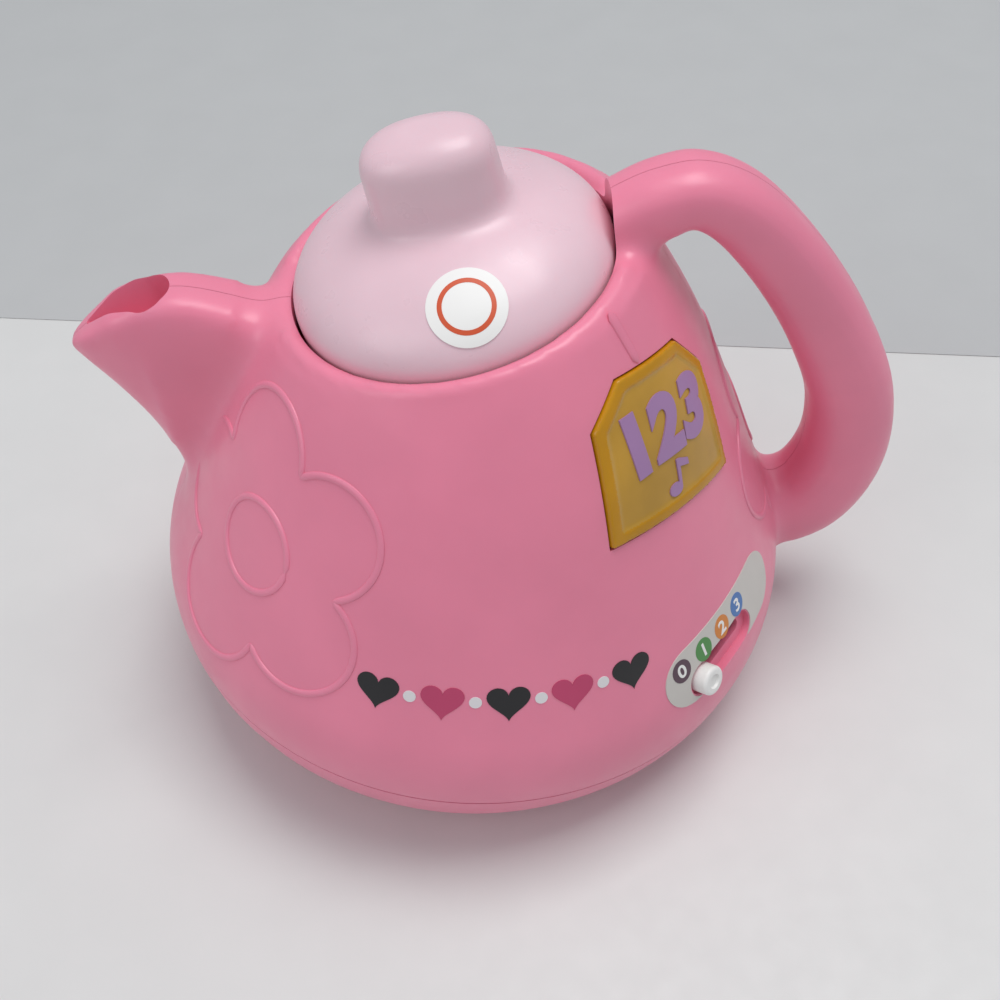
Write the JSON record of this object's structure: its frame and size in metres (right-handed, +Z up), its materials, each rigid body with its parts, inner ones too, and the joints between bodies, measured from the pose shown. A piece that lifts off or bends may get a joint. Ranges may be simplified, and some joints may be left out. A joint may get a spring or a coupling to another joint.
{
  "type": "toy teapot",
  "caption": "Toy teapot of moulded shells with a spout, a loop handle, a sprung press-down lid, a lit tag push button and a level slide switch, on a flat base with a battery door.",
  "frame": {"origin": "middle of the flat foot that the pot rests on", "axes": "+Z up, +X towards the handle, -X towards the spout, -Y towards the front with the tag button"},
  "size_m": [0.1756, 0.146, 0.1436],
  "materials": {
    "pink_plastic": "satin moulded",
    "pale_plastic": "satin moulded",
    "white_plastic": "satin moulded",
    "amber_plastic": "see-through gloss",
    "black_plastic": "fine matt",
    "sticker": "satin film",
    "steel": "plated",
    "cell_sleeve": "shrink sleeve",
    "board": "lacquered",
    "pad_rubber": "soft",
    "lamp_lens": "clear"
  },
  "bodies": {
    "pot": {"front_shell": "pink_plastic", "rear_shell": "pink_plastic", "base_cover": "pink_plastic", "battery_door": "pink_plastic", "door_screw": "steel", "base_screws": "steel", "shell_screws": "steel", "batteries": "cell_sleeve", "spring_contacts": "steel", "button_contacts": "steel", "speaker": "black_plastic", "speaker_clip": "white_plastic", "circuit_board": "board", "board_screws": "steel", "tilt_switch": "steel", "lid_carrier": "white_plastic", "carrier_screws": "steel", "lid_springs": "steel", "lid_switch": "black_plastic", "tag_bezel": "white_plastic", "tag_pad": "pad_rubber", "tag_board": "board", "tag_lamps": "lamp_lens", "level_switch": "black_plastic", "switch_label": "sticker"},
    "lid_top": {"lid": "pale_plastic", "lid_sticker": "sticker"},
    "tag": {"tag_button": "amber_plastic"},
    "slider": {"slider_knob": "white_plastic"}
  },
  "joints": [
    {"name": "lid_press", "type": "slide", "parent": "pot", "child": "lid_top", "axis": [0.1685, 0, -0.9857], "range_m": [0, 0.003], "stiffness_N_per_m": 700, "springref_m": -0.002, "deforming": ["lid_springs"]},
    {"name": "tag_press", "type": "slide", "parent": "pot", "child": "tag", "axis": [-0.6677, 0.6141, -0.4207], "range_m": [0, 0.0015], "stiffness_N_per_m": 600, "springref_m": -0.001, "deforming": ["tag_pad"]},
    {"name": "level_slide", "type": "slide", "parent": "pot", "child": "slider", "axis": [0.6623, 0.7463, 0.0654], "range_m": [0, 0.015]}
  ]
}
